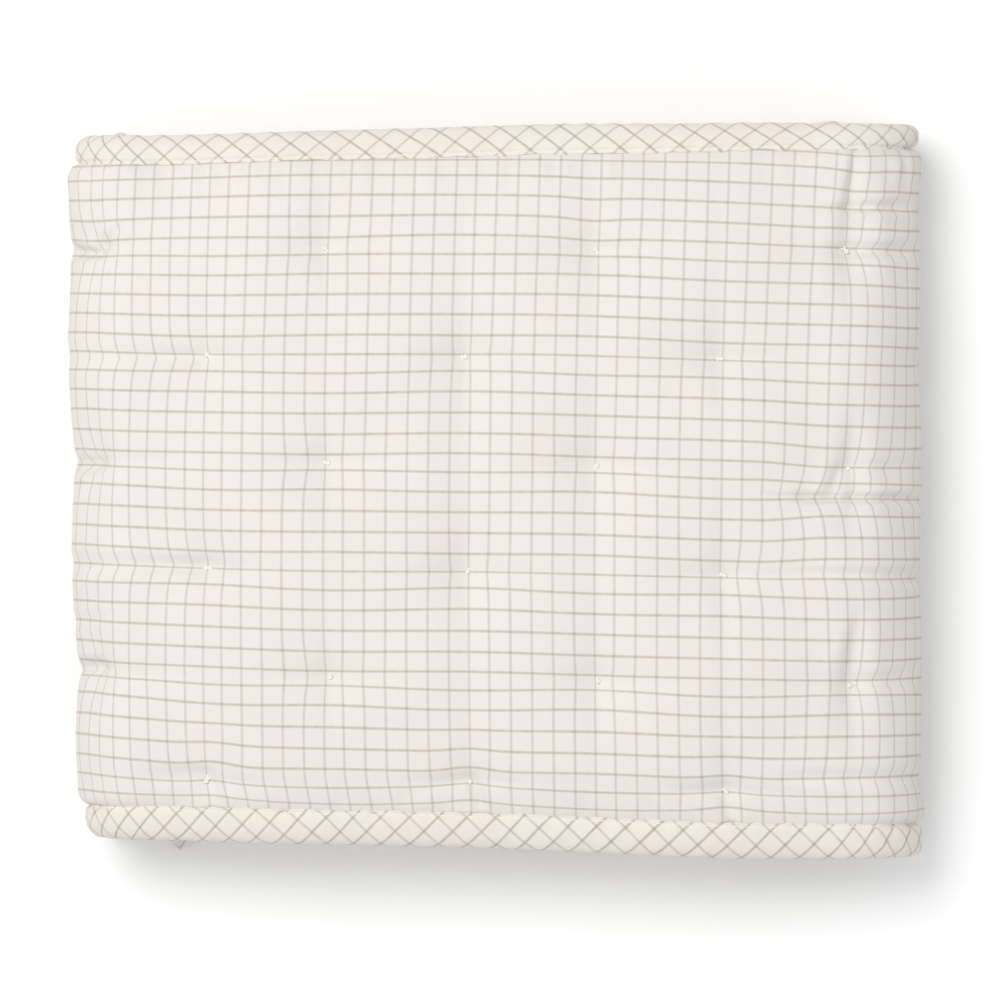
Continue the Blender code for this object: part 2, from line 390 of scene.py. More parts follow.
def knot_columns():
    """The columns of knots on the whole strip."""
    first = math.ceil((COLUMN_FROM_END - MIDDLE_ALONG) / TUFT_COLUMN_PITCH)
    last = math.floor((STRIP_LENGTH - COLUMN_FROM_END - MIDDLE_ALONG) / TUFT_COLUMN_PITCH)
    return range(first, last + 1)


def even_along(along):
    """Distance from the middle column as if all columns were evenly spaced."""
    seen = metres(SEEN_COLUMNS, "along")
    even = np.array([column.number * TUFT_COLUMN_PITCH for column in SEEN_COLUMNS])
    offset = along - MIDDLE_ALONG
    inside = (offset > seen[0]) & (offset < seen[-1])
    return np.where(inside, np.interp(offset, seen, even), offset)


def along_of(column):
    """Where along the strip a column of knots is."""
    return MIDDLE_ALONG + (SEEN[column].along * MM if column in SEEN else column * TUFT_COLUMN_PITCH)


def beside_column(column, along, across):
    """How far from a column of knots a place is, along the strip."""
    lean = SEEN[column].lean if column in SEEN else 0.0
    return along - along_of(column) - lean * across


def knots_of(column):
    """How far along and across the strip each of a column's knots is tied."""
    along = along_of(column)
    if column not in SEEN:
        return [(along, row) for row in knot_rows(column)]
    place = section_at(along)
    x = float(place.x)
    askew = SHIFT_Y + LEAN_Y_PER_X * x + waver(along)
    knots = []
    for row in tied_rows(column):
        above_middle = ((TUFT_ROWS - 1) / 2 - row) * (KNOTS_PITCH + KNOTS_PITCH_LEAN * x)
        height = KNOTS_MIDDLE + KNOTS_LEAN * x + above_middle
        if (column, row) == STRAY_KNOT:
            height += STRAY_BY
        across = (height - askew) / float(place.scale)
        knots.append((along + SEEN[column].lean * across, across))
    return knots


# ---- making meshes

def new_object(name, data):
    """A new object in the scene."""
    made = bpy.data.objects.new(name, data)
    bpy.context.scene.collection.objects.link(made)
    return made


def new_piece(name, points, faces, material, slot, places=None):
    """A mesh piece that moves with the heap, with its cloth's places kept for the material."""
    mesh = bpy.data.meshes.new(name)
    mesh.from_pydata(points.tolist(), [], faces)
    mesh.shade_smooth()
    if places is not None:
        mesh.attributes.new("cloth_place", "FLOAT_VECTOR", "POINT")
        mesh.attributes["cloth_place"].data.foreach_set("vector", places.astype(np.float32).ravel())
    mesh.materials.append(material)
    piece = new_object(name, mesh)
    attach(piece, "root")
    return piece


def strip_faces(index, flip=False):
    """Quads between neighbouring rows and columns of a grid of point numbers."""
    corners = [index[:-1, :-1], index[1:, :-1], index[1:, 1:], index[:-1, 1:]]
    if flip:
        corners.reverse()
    return np.stack(corners, axis=-1).reshape(-1, 4).tolist()


def zip_faces(fine, coarse, flip=False):
    """Faces that close the gap between a finely and a coarsely divided line of points."""
    faces = []
    for step in range(len(fine) - 1):
        here = round(step * (len(coarse) - 1) / (len(fine) - 1))
        there = round((step + 1) * (len(coarse) - 1) / (len(fine) - 1))
        face = [fine[step], fine[step + 1], coarse[there]]
        if there != here:
            face.append(coarse[here])
        faces.append(face[::-1] if flip else face)
    return faces


def tube_faces(rings, sides, used=0):
    """Faces of a closed tube whose rings of points come one after another, after those already used."""
    faces = []
    for step in range(rings - 1):
        low, high = used + step * sides, used + (step + 1) * sides
        for side in range(sides):
            following = (side + 1) % sides
            faces.append([low + side, low + following, high + following, high + side])
    faces.append([used + side for side in reversed(range(sides))])
    faces.append([used + (rings - 1) * sides + side for side in range(sides)])
    return faces


def unit(vectors):
    """Vectors made one long."""
    return vectors / np.linalg.norm(vectors, axis=-1, keepdims=True)


def circles(first, second, sides):
    """Unit circles, each turning from its first direction towards its second."""
    turn = np.linspace(0, 2 * math.pi, sides, endpoint=False)[None, :, None]
    return first[:, None] * np.cos(turn) + second[:, None] * np.sin(turn)


# ---- the padding's swell between its knots

SIM_CELL = 3.4 * MM
SIM_COLUMNS_EACH_SIDE = 5
SIM_SLACK = 0.010
SIM_PRESSURE = 4.0
SIM_FRAMES = 30
SIM_ROUGH = 0.1 * MM
HELD_ROUND_KNOT = 1.3 * MM
AS_NEAR = 1.001
MIRROR_COLUMN = 4
SIM_SHARE = 0.24
SIM_MEAN = 2.9 * MM
SIM_CAP = 2.6 * MM


def from_knots(lengthwise, crosswise):
    """How far the places on the flat cloth are from each of its knots in turn."""
    for column in range(1 - SIM_COLUMNS_EACH_SIDE, SIM_COLUMNS_EACH_SIDE):
        for row in knot_rows(column):
            yield np.hypot(lengthwise - column * TUFT_COLUMN_PITCH, crosswise - row)


def blown_cloth(lengthwise, crosswise):
    """The cloth let billow by the padding under it, held at its edges and by its knots."""
    rough = np.random.default_rng(SEED).uniform(0.0, SIM_ROUGH, lengthwise.shape)
    start = np.stack([lengthwise, crosswise, rough], axis=-1)
    index = np.arange(rough.size).reshape(rough.shape)
    held = np.abs(crosswise) > SEAM_ACROSS - SIM_CELL / 2
    held |= np.abs(lengthwise) > lengthwise.max() - SIM_CELL / 2
    for away in from_knots(lengthwise, crosswise):
        held |= away < max(away.min() * AS_NEAR, HELD_ROUND_KNOT)
    mesh = bpy.data.meshes.new("billowing")
    mesh.from_pydata(start.reshape(-1, 3).tolist(), [], strip_faces(index))
    cloth = new_object("billowing", mesh)
    cloth.vertex_groups.new(name="held").add(index[held].tolist(), 1.0, "REPLACE")
    modifier = cloth.modifiers.new("cloth", "CLOTH")
    settings = modifier.settings
    settings.quality = 6
    settings.mass = 0.3
    settings.tension_stiffness = 30
    settings.compression_stiffness = 20
    settings.shear_stiffness = 3
    settings.bending_model = "LINEAR"
    settings.bending_stiffness = 2
    settings.bending_damping = 0.1
    settings.vertex_group_mass = "held"
    settings.shrink_min = -SIM_SLACK
    settings.use_pressure = True
    settings.uniform_pressure_force = SIM_PRESSURE
    settings.effector_weights.gravity = 0
    modifier.collision_settings.use_collision = False
    for number in range(1, SIM_FRAMES + 1):
        bpy.context.scene.frame_set(number)
    evaluated = cloth.evaluated_get(bpy.context.evaluated_depsgraph_get())
    points = np.empty(start.size, np.float32)
    evaluated.data.vertices.foreach_get("co", points)
    bpy.data.objects.remove(cloth, do_unlink=True)
    bpy.context.scene.frame_set(1)
    return points.reshape(start.shape)[..., 2].astype(float)


def soften(values):
    """Each value eased towards its neighbours along both directions of the grid."""
    for _ in range(2):
        padded = np.pad(values, ((1, 1), (0, 0)), mode="edge")
        values = (values / 2 + (padded[:-2] + padded[2:]) / 4).T
    return values


def make_swell():
    """The grid on which the cloth's heights are kept, and the heights."""
    reach = SIM_COLUMNS_EACH_SIDE * TUFT_COLUMN_PITCH
    lengthwise = np.linspace(-reach, reach, round(2 * reach / SIM_CELL) + 1)
    crosswise = np.linspace(-SEAM_ACROSS, SEAM_ACROSS, round(2 * SEAM_ACROSS / SIM_CELL) + 1)
    grid = np.meshgrid(lengthwise, crosswise, indexing="ij")
    heights = blown_cloth(*grid)
    return lengthwise, crosswise, soften(heights)


SWELL_ALONG, SWELL_ACROSS, SWELL_HEIGHTS = make_swell()


def grid_lines(places, lines):
    """The four lines of a grid round each place, with their weights for a smooth curve."""
    counted = (places - lines[0]) / (lines[1] - lines[0])
    base = np.floor(counted).astype(int)
    share = counted - base
    square, cube = share ** 2, share ** 3
    weights = (
        (-share + 2 * square - cube) / 2,
        (2 - 5 * square + 3 * cube) / 2,
        (share + 4 * square - 3 * cube) / 2,
        (-square + cube) / 2,
    )
    return [(np.clip(base + i - 1, 0, len(lines) - 1), weight) for i, weight in enumerate(weights)]


def swell_at(along, across):
    """How far the simulated cloth bulges at some points of the strip, the same both ways round."""
    reach = MIRROR_COLUMN * TUFT_COLUMN_PITCH
    unfolded = even_along(along) + reach
    turn = np.floor(unfolded / (2 * reach))
    into = unfolded - turn * 2 * reach
    lengthwise = np.where(np.mod(turn, 2) > 0.5, 2 * reach - into, into) - reach
    bulge = np.zeros_like(lengthwise)
    for way in (1, -1):
        for column, weight_along in grid_lines(way * lengthwise, SWELL_ALONG):
            for row, weight_across in grid_lines(np.clip(across, -SEAM_ACROSS, SEAM_ACROSS), SWELL_ACROSS):
                bulge += weight_along * weight_across * SWELL_HEIGHTS[column, row] / 2
    return np.clip((bulge - SIM_MEAN) * SIM_SHARE, -SIM_CAP, SIM_CAP)


# ---- what the knots do to the cloth

# Valleys run across the strip through each column of knots and, shorter, lengthwise through each knot.
COLUMN_VALLEY_WIDTH = 6.0 * MM
NEAR_KNOT_VALLEY = 0.19
NEAR_KNOT_WIDTH = 5.0 * MM
NEAR_KNOT_REACH = 20 * MM
ROW_VALLEY = 0.30
ROW_VALLEY_WIDTH = 4.4 * MM
ROW_VALLEY_REACH = 27 * MM
KNOT_PIT = 0.34
KNOT_PIT_WIDTH = 6.0 * MM
VALLEY_BLUNT = 0.7 * MM

# The knots also draw the cloth towards them within its own surface.
COLUMN_DRAW = 0.40 * MM
COLUMN_DRAW_REACH = 26 * MM
KNOT_DRAW = 1.05 * MM
KNOT_DRAW_WIDTH = 8.0 * MM
KNOT_DRAW_REACH = 38 * MM
ROW_DRAW = 1.05 * MM
ROW_DRAW_WIDTH = 36 * MM
ROW_DRAW_REACH = 24 * MM
ROW_DRAW_BELOW = 1.9 * MM
ROW_DRAW_LOWER = 0.008
ROW_DRAW_BELOW_REACH = 33 * MM
DRAW_START = 4.0 * MM


def cusp(distance, width):
    """Nearly pointed at nought, where it is 1, and less and less on both sides of it."""
    blunt = np.sqrt(distance ** 2 + VALLEY_BLUNT ** 2) - VALLEY_BLUNT
    return np.exp(-blunt / width)


def left_by_knots(along, across):
    """The share of the padding's height that the valleys through the knots leave."""
    left = 1.0
    for column in knot_columns():
        beside = beside_column(column, along, across)
        valley = SEEN[column].valley if column in SEEN else HIDDEN_VALLEY
        left = left * (1 - valley * cusp(beside, COLUMN_VALLEY_WIDTH))
        for _, row in knots_of(column):
            above = across - row
            near = NEAR_KNOT_VALLEY * bell(above, NEAR_KNOT_REACH) * cusp(beside, NEAR_KNOT_WIDTH)
            lengthwise = ROW_VALLEY * bell(beside, ROW_VALLEY_REACH) * cusp(above, ROW_VALLEY_WIDTH)
            pit = KNOT_PIT * cusp(np.hypot(beside, above), KNOT_PIT_WIDTH)
            left = left * (1 - near) * (1 - lengthwise) * (1 - pit)
    return left


def draw(distance, reach):
    """Nought at a knot, nearly one a little away from it, and nought again where its reach ends."""
    return distance / np.hypot(distance, DRAW_START) * (1 - smooth(np.abs(distance) / reach))


def drawn_by_knots(along, across):
    """How far along and across the cloth at a place has been drawn in from."""
    lengthwise, crosswise = 0.0, 0.0
    for column in knot_columns():
        beside = beside_column(column, along, across)
        lengthwise = lengthwise + COLUMN_DRAW * draw(beside, COLUMN_DRAW_REACH)
        for _, row in knots_of(column):
            above = across - row
            lengthwise += KNOT_DRAW * cusp(above, KNOT_DRAW_WIDTH) * draw(beside, KNOT_DRAW_REACH)
            over = ROW_DRAW * draw(above, ROW_DRAW_REACH)
            under = (ROW_DRAW_BELOW - ROW_DRAW_LOWER * row) * draw(above, ROW_DRAW_BELOW_REACH)
            crosswise = crosswise + np.where(above > 0, over, under) * bell(beside, ROW_DRAW_WIDTH)
    return lengthwise, crosswise


# ---- creases placed one by one

# A pull is a trough with a low lip on each side, from one place on the top cloth to another. Its places
# are along the strip, from the middle column towards the left fold, and across it. The cloth in the
# trough is also drawn along, so that the check bends where it crosses the trough.
PULLS = table(
    "along_from across_from along_to across_to depth width drawn",
    # over the left fold, from its knots and from those hidden below it
    (147, 99, 162, 100, 2.4, 2.4, 4.6),
    (147, 10, 162, 9, 2.0, 2.8, 3.6),
    (147, -76, 162, -77, 2.2, 2.8, 4.2),
    (103, 55, 162, 55, 0.8, 4.0, 3.0),
    (104, -32, 162, -33, 1.3, 3.6, 3.2),
    (138, 111, 148, 100, 1.6, 1.7, 1.2),
    (140, -55, 168, -58, 0.6, 2.6, 0.6),
    # over the right fold
    (-150, 99, -186, 99, 1.7, 2.6, -2.6),
    (-148, 115, -180, 116, 2.3, 1.9, -2.2),
    (-156, 11, -176, 9, 0.8, 2.6, -1.0),
    (-130, -2, -192, -3, 2.3, 1.9, -5.6),
    (-138, -33, -196, -35, 1.5, 3.0, -1.8),
    (-157, -77, -184, -75, 1.2, 3.0, -1.6),
    (-130, -116, -196, -117, 1.4, 3.2, -1.8),
    # along the right column of knots and beside it
    (-159, 137, -156, 115, 2.4, 1.9, 0.0),
    (-152, 10, -148, -3, 2.2, 2.4, 0.0),
    (-158, -52, -156, -74, 1.0, 3.0, 0.0),
    (-159, 130, -157, 80, 2.0, 5.5, 0.0),
    (-157, 26, -155, -18, 1.4, 5.0, 0.0),
    (-158, -56, -155, -100, 1.5, 5.0, 0.0),
    (-175, 136, -175, -136, 1.3, 13.0, 0.0),
    (-136, -1, -150, -2, 1.5, 4.6, 0.0),
    # from the lowest row of knots down into the seam
    (-1, -120, -6, -135, 3.0, 2.0, 0.0),
    (-106, -124, -108, -137, 2.0, 2.4, 0.0),
    (108, -120, 104, -136, 1.6, 2.6, 0.0),
    # soft pulls on the flat
    (-1, -121, 26, -127, 0.6, 3.4, 0.0),
    (-107, -121, -84, -125, 0.6, 3.2, 0.0),
    (106, -120, 134, -122, 0.8, 3.0, 0.8),
)
PULL_LIP = 0.45
PULL_LIP_PLACE = 1.7
PULL_LIP_WIDTH = 0.8
PULL_NARROW = 0.75
PULL_WIDENS = 0.5
PULL_STARTS = -0.25
PULL_STARTS_OVER = 0.5
PULL_ENDS = 1.3
PULL_ENDS_OVER = 0.7
PULL_DRAW_WIDTH = 8.0 * MM

# Cloth is also taken crosswise into the deepest creases, so that the lines beside them lie closer.
GATHERS = table(
    "along over across amount reach",
    (-134, 30, -2, 2.1, 56),
    (-150, 12, 115, 0.7, 16),
)


def pull_shape(pull, along, across):
    """How far a place is along a pull and beside it, and how strongly the pull acts there."""
    run_along, run_across = (pull.along_to - pull.along_from) * MM, (pull.across_to - pull.across_from) * MM
    length = math.hypot(run_along, run_across)
    beside_start = along - MIDDLE_ALONG - pull.along_from * MM
    above_start = across - pull.across_from * MM
    share = (beside_start * run_along + above_start * run_across) / length ** 2
    away = np.abs(beside_start * run_across - above_start * run_along) / length
    strength = ramp(share, PULL_STARTS, PULL_STARTS_OVER) * smooth((PULL_ENDS - share) / PULL_ENDS_OVER)
    return share, away, strength


def pull_depth(along, across):
    """How far the listed creases push the top cloth in, and their lips raise it."""
    total = 0.0
    for pull in PULLS:
        share, away, strength = pull_shape(pull, along, across)
        beside = away / (pull.width * MM * (PULL_NARROW + PULL_WIDENS * np.clip(share, 0, 1)))
        trough = bell(beside, 1.0) - PULL_LIP * bell(beside - PULL_LIP_PLACE, PULL_LIP_WIDTH)
        total = total + pull.depth * MM * strength * trough
    return total


def drawn_by_pulls(along, across):
    """How far lengthwise the cloth in and beside the creases has been drawn."""
    total = 0.0
    for pull in PULLS:
        _, away, strength = pull_shape(pull, along, across)
        total = total + pull.drawn * MM * strength * cusp(away, PULL_DRAW_WIDTH)
    return total


def taken_in(along, across):
    """How far crosswise the cloth beside the deepest creases has been drawn in."""
    total = 0.0
    for gather in GATHERS:
        begun = smooth((gather.along * MM - (along - MIDDLE_ALONG)) / (gather.over * MM) + 0.5)
        total = total + gather.amount * MM * begun * draw(across - gather.across * MM, gather.reach * MM)
    return total


# ---- puckers, and the panel's surface

# Short puckers where the cloth is gathered into the seams.
SEAM_PUCKERS = table("length depth", (6.3, 0.26), (8.9, 0.40), (13.7, 0.44), (22.0, 0.34))
SEAM_PUCKER_REACH = 11 * MM
SEAM_PUCKERS_FROM = 2.5 * MM
SEAM_PUCKERS_OVER = 4 * MM
HEAD_GATHERED = 1.9
HEAD_SEAM_SEED = 11
FOOT_SEAM_SEED = 12
DRIFT = 1.6
DRIFT_LENGTHS = 4.1
STEADY = 0.65
SWING_LENGTHS = 2.7

CROWN_FROM = 111 * MM
CROWN_POWER = 2
CROWN_POWER_AT_FOLDS = 9
CROWN_FOLD_REACH = 12 * MM
SEAM_HALF_SHARE = 0.34
SWELL_FROM_SEAM = 9 * MM
LEAST_HALF = 1.2 * MM


def waves(along, rows, seed):
    """Uneven ripples along the strip: a sum of sines of drifting phase."""
    random = np.random.default_rng(seed)
    total = np.zeros_like(along)
    for wave in rows:
        length = wave.length * MM
        phase = random.uniform(0, 2 * math.pi, 3)
        drift = DRIFT * np.sin(along / (DRIFT_LENGTHS * length) + phase[1])
        swing = STEADY + (1 - STEADY) * np.sin(along / (SWING_LENGTHS * length) + phase[2])
        total += wave.depth * MM * swing * np.sin(2 * math.pi * along / length + phase[0] + drift)
    return total


def crown(along, across):
    """How the padding falls from its full height to the seams, later where the strip is folded."""
    into = np.clip((np.abs(across) - CROWN_FROM) / (SEAM_ACROSS - CROWN_FROM), 0.0, 1.0)
    folded = sum(half_way_round(name, along, CROWN_FOLD_REACH) for name in ("outer_fold", "left_fold"))
    power = CROWN_POWER + CROWN_POWER_AT_FOLDS * folded
    return np.sqrt(1 - into ** power * (1 - SEAM_HALF_SHARE ** 2))


def panel_half(along, across, side):
    """How far a face of the panel lies from its middle: knots and seams low, the padding high between."""
    half = section_at(along).half
    from_seam = SEAM_ACROSS - np.abs(across)
    swell = swell_at(along, across) * smooth(from_seam / SWELL_FROM_SEAM)
    full = half * crown(along, across) * left_by_knots(along, across) + swell
    gathered = bell(from_seam, SEAM_PUCKER_REACH) * ramp(from_seam, SEAM_PUCKERS_FROM, SEAM_PUCKERS_OVER)
    head, foot = (waves(along, SEAM_PUCKERS, seed) for seed in (HEAD_SEAM_SEED, FOOT_SEAM_SEED))
    full = full + gathered * np.where(across > 0, HEAD_GATHERED * head, foot)
    if side > 0:
        full = full - pull_depth(along, across)
        full = np.where(along < START["outer_fold"], full * FLOOR_PRESS, full)
    past_seam = ramp(np.abs(across), SEAM_ACROSS, TONGUE_ACROSS - SEAM_ACROSS)
    full = full + (np.minimum(half, TONGUE_HALF) - full) * past_seam
    return np.maximum(full, LEAST_HALF * (half / LOWER_LAYER_HALF))


def panel_point(along, across, side):
    """A point of one face of the panel, folded."""
    return on_fold(along, across, side * panel_half(along, across, side))


# ---- the print on the cloth

CHECK_ALONG = 8.60 * MM
CHECK_ACROSS = 8.22 * MM
CHECK_ALONG_PHASE = -2.0 * MM
CHECK_ACROSS_PHASE = -2.3 * MM
LEFT_GATHER = 11 * MM
LEFT_GATHER_FROM = 50 * MM
LEFT_GATHER_OVER = 112 * MM
LEFT_GATHER_POWER = 2.6
RIGHT_GATHER = 3.6 * MM
RIGHT_GATHER_FROM = 148 * MM
RIGHT_GATHER_OVER = 30 * MM
GRAIN_LEAN = 0.026
GRAIN_BOW = 0.116
GRAIN_DRIFT = 0.0137
ACROSS_SPREAD = 1.0026
SPREAD_MIDDLE = 35 * MM
SPREAD_REACH = 190 * MM
SPREAD_SHARE = 0.03
SEAM_SURPLUS = 2.4 * MM
SEAM_SURPLUS_FROM = 129 * MM
SEAM_SURPLUS_OVER = 7.5 * MM
FOOT_SKEW = 2.1 * MM
FOOT_SKEW_FROM = 118 * MM
FOOT_SKEW_OVER = 18 * MM
FOOT_SKEW_LEFT_FROM = -5 * MM
FOOT_SKEW_LEFT_OVER = 40 * MM

# Here and there the check lies a little higher or lower, or further along, than its even spacing.
SHIFTS = table(
    "along along_reach across across_reach crosswise lengthwise",
    (0, 11, -121, 16, -2.2, 0.0),
    (-106, 11, -124, 16, -1.7, 0.0),
    (106, 11, -120, 16, -1.9, 0.0),
    (-54.7, 11, 110, 16, 1.1, 0.0),
    (148, 11, 105, 16, 0.9, 0.0),
    (-112, 34, 132, 14, -0.7, 0.0),
    (-160, 9, 134, 16, 1.5, 0.0),
    (-144, 28, 62, 80, 0.0, -1.7),
    (-166, 16, -70, 45, 0.0, 1.5),
    (-160, 12, 80, 20, 0.0, 1.4),
    (100, 40, -126, 10, 1.1, 0.0),
    (67, 10, 13, 12, 0.0, 1.2),
    (67, 10, -78, 12, 0.0, 1.1),
    (100, 7, -32, 9, 0.0, 1.4),
    (-120, 16, -33, 10, 0.0, -1.4),
    (156, 16, 60, 50, -0.9, 0.0),
)


def shifted(along, across):
    crosswise, lengthwise = 0.0, 0.0
    for shift in SHIFTS:
        beside = (along - MIDDLE_ALONG - shift.along * MM) / (shift.along_reach * MM)
        above = (across - shift.across * MM) / (shift.across_reach * MM)
        near = np.exp(-beside ** 2 - above ** 2) * MM
        crosswise = crosswise + shift.crosswise * near
        lengthwise = lengthwise + shift.lengthwise * near
    return crosswise, lengthwise


def place_lengthwise(along, side):
    """How far along its cloth a place is, without and with the cloth that is gathered in at the folds."""
    length = np.interp(along, FINE_ALONG, CLOTH_LENGTH[side])
    into = np.clip((length - LEFT_GATHER_FROM) / LEFT_GATHER_OVER, 0.0, 1.0)
    gathered = LEFT_GATHER * into ** LEFT_GATHER_POWER
    gathered -= RIGHT_GATHER * ramp(-length, RIGHT_GATHER_FROM, RIGHT_GATHER_OVER)
    return length, length + gathered


def print_place(along, across, side):
    length, on_cloth = place_lengthwise(along, side)
    lengthwise, crosswise = drawn_by_knots(along, across)
    off_crosswise, off_lengthwise = shifted(along, across)
    drawn = lengthwise + drawn_by_pulls(along, across) + off_lengthwise
    near_foot = ramp(-across, FOOT_SKEW_FROM, FOOT_SKEW_OVER)
    skewed = FOOT_SKEW * near_foot * ramp(length, FOOT_SKEW_LEFT_FROM, FOOT_SKEW_LEFT_OVER)
    print_along = on_cloth + drawn + skewed + GRAIN_LEAN * across + GRAIN_BOW * across ** 2
    x = np.clip(MIDDLE_COLUMN_X - length, CAD_LOW.x, CAD_HIGH.x)
    spread = 1 - SPREAD_SHARE * ((x - SPREAD_MIDDLE) / SPREAD_REACH) ** 2
    near_seam = ramp(np.abs(across), SEAM_SURPLUS_FROM, SEAM_SURPLUS_OVER)
    surplus = SEAM_SURPLUS * np.sign(across) * near_seam
    crosswise = crosswise + surplus + off_crosswise + taken_in(along, across)
    place = section_at(along)
    height = (across + seam_rise(place.x, across)) * place.scale
    print_across = ACROSS_SPREAD * height / spread + GRAIN_DRIFT * x + crosswise
    return np.stack([print_along, print_across, np.zeros_like(print_along)], axis=-1)


# ---- the panel

FACE_STEP = 2.2 * MM
HIDDEN_STEP = 7.0 * MM
INNER_FOLD_STEP = 2.6 * MM
HIDDEN_LANE_STEP = 7.6 * MM
LANE_SAMPLES = 2001
CREASED_ACROSS = (-119 * MM, -33 * MM, -2.5 * MM, 55 * MM, 99 * MM, 115.5 * MM)
CREASED_REACH = 4.5 * MM
CREASED_EXTRA = 1.2


def spaced(start, end, step):
    """Even distances from start up to, but not at, end."""
    return np.linspace(start, end, max(round((end - start) / step), 1), endpoint=False)


def shown_lanes():
    """Distances across the strip for its outer face, closer together at its deepest creases."""
    fine = np.linspace(-SEAM_ACROSS, SEAM_ACROSS, LANE_SAMPLES)
    density = 1 + sum(CREASED_EXTRA * bell(fine - place, CREASED_REACH) for place in CREASED_ACROSS)
    count = totals((density[1:] + density[:-1]) / 2) * (fine[1] - fine[0]) / FACE_STEP
    return np.interp(np.linspace(0, count[-1], round(count[-1]) + 1), count, fine)


def panel_stations():
    """Distances along the strip: fine where the top cloth shows, wider on the layers under it."""
    shown_from, shown_to = START["outer_fold"], START["layer_3"]
    shown_length = np.interp([shown_from, shown_to], FINE_ALONG, CLOTH_LENGTH[1])
    return np.concatenate([
        spaced(0.0, shown_from, HIDDEN_STEP),
        np.interp(spaced(*shown_length, FACE_STEP), CLOTH_LENGTH[1], FINE_ALONG),
        spaced(shown_to, START["inner_fold"], HIDDEN_STEP),
        spaced(START["inner_fold"], START["layer_2"], INNER_FOLD_STEP),
        spaced(START["layer_2"], STRIP_LENGTH, HIDDEN_STEP),
        [STRIP_LENGTH],
    ])


def make_panel(material):
    """The quilted panel: a fine outer face, a plainer inner one, and its edges inside the bindings."""
    stations = panel_stations()
    hidden_lanes = np.linspace(-SEAM_ACROSS, SEAM_ACROSS, round(2 * SEAM_ACROSS / HIDDEN_LANE_STEP) + 1)
    middle = (SEAM_ACROSS + TONGUE_ACROSS) / 2
    points, places, index, used = [], [], {}, 0
    for side, between in ((1, shown_lanes()), (-1, hidden_lanes)):
        lanes = np.concatenate([[-TONGUE_ACROSS, -middle], between, [middle, TONGUE_ACROSS]])
        along, across = np.meshgrid(stations, lanes, indexing="ij")
        points.append(panel_point(along, across, side).reshape(-1, 3))
        places.append(print_place(along, across, side).reshape(-1, 3))
        index[side] = used + np.arange(along.size).reshape(along.shape)
        used += along.size
    faces = strip_faces(index[1], flip=True) + strip_faces(index[-1])
    for lane, flip in ((0, True), (-1, False)):
        faces += strip_faces(np.stack([index[1][:, lane], index[-1][:, lane]], axis=-1), flip)
    for station, flip in ((0, False), (-1, True)):
        faces += zip_faces(index[1][station], index[-1][station], flip)
    points, places = np.concatenate(points), np.concatenate(places)
    panel = new_piece("quilted_panel", points, faces, material, "check_cotton", places)
    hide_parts("padded_panel")
    return panel


# ---- the bindings

BINDING_CLOTH = 0.7 * MM
BINDING_MIDDLE = 141.4 * MM
BINDING_EDGE = 150 * MM
BINDING_HALF = 6.0 * MM
BINDING_ROUND_POINTS = 15
BINDING_ROUND_POWER = 0.92
BINDING_STEP = 1.9 * MM
BINDING_HIDDEN_STEP = 5.0 * MM
BINDING_TUCK = table("across out", (135.8, 2.90), (135.1, 4.15), (135.2, 4.90), (136.0, 5.40), (138.4, 5.90))
TUCK_STEPS = 3
STITCH_FROM_SEAM = 3.5 * MM
STITCH_GROOVE = 0.85 * MM
STITCH_GROOVE_WIDTH = 0.75 * MM
RIGHT_END_SQUARE = 0.5
BARELY = 1e-6
SHORT_END_HALF = 0.40
SHORT_END_ROUND = 6.0 * MM
SHORT_END_STEPS_MM = (0.0, 0.3, 0.9, 1.8, 3.0, 4.5)

BINDING_PUCKERS = table("length depth", (5.1, 0.13), (7.7, 0.23), (11.9, 0.30), (19.0, 0.20))
BINDING_PUCKER_PLACE = 3.6 * MM
BINDING_PUCKER_REACH = 5 * MM
BINDING_PUCKER_FADE = 2.5 * MM
BINDING_PUCKER_SEED = 20
DRAG_LINES = table("length depth", (10.5, 0.25))
DRAG_FADE = 5 * MM
DRAG_SEED = 30
SCALLOPS = table("length depth", (11.9, 0.35), (7.1, 0.18), (31.0, 0.40))
SCALLOP_REACH = 4.6 * MM
SCALLOP_SEED = 40

# The bias strip's check slides across the strip as it runs along it.
HEAD_SLIDES = table(
    "x by",
    (-168, 6.5), (-122, 6.5), (-84, 8.0), (-60, 7.9), (-35, 6.2), (-22, 3.9),
    (-8, 2.4), (70, 1.2), (95, -0.5), (120, -1.3), (153, -2.0),
)
FOOT_SLIDES = table(
    "x by",
    (-156, -11.9), (-130, -11.2), (-98, -8.3), (-76, -5.6), (-30, -4.4), (-4, -4.0),
    (14, -1.8), (36, 0.0), (95, 0.0), (130, 1.2), (163, 3.0),
)
HEAD_CLOSER = -2.6 * MM
HEAD_CLOSER_AT = -140 * MM
HEAD_CLOSER_REACH = 40 * MM
FOOT_CLOSER = 1.3 * MM
FOOT_CLOSER_FROM = 40 * MM
FOOT_CLOSER_OVER = 20 * MM

Around = namedtuple("Around", "across out length normal_across normal_out")


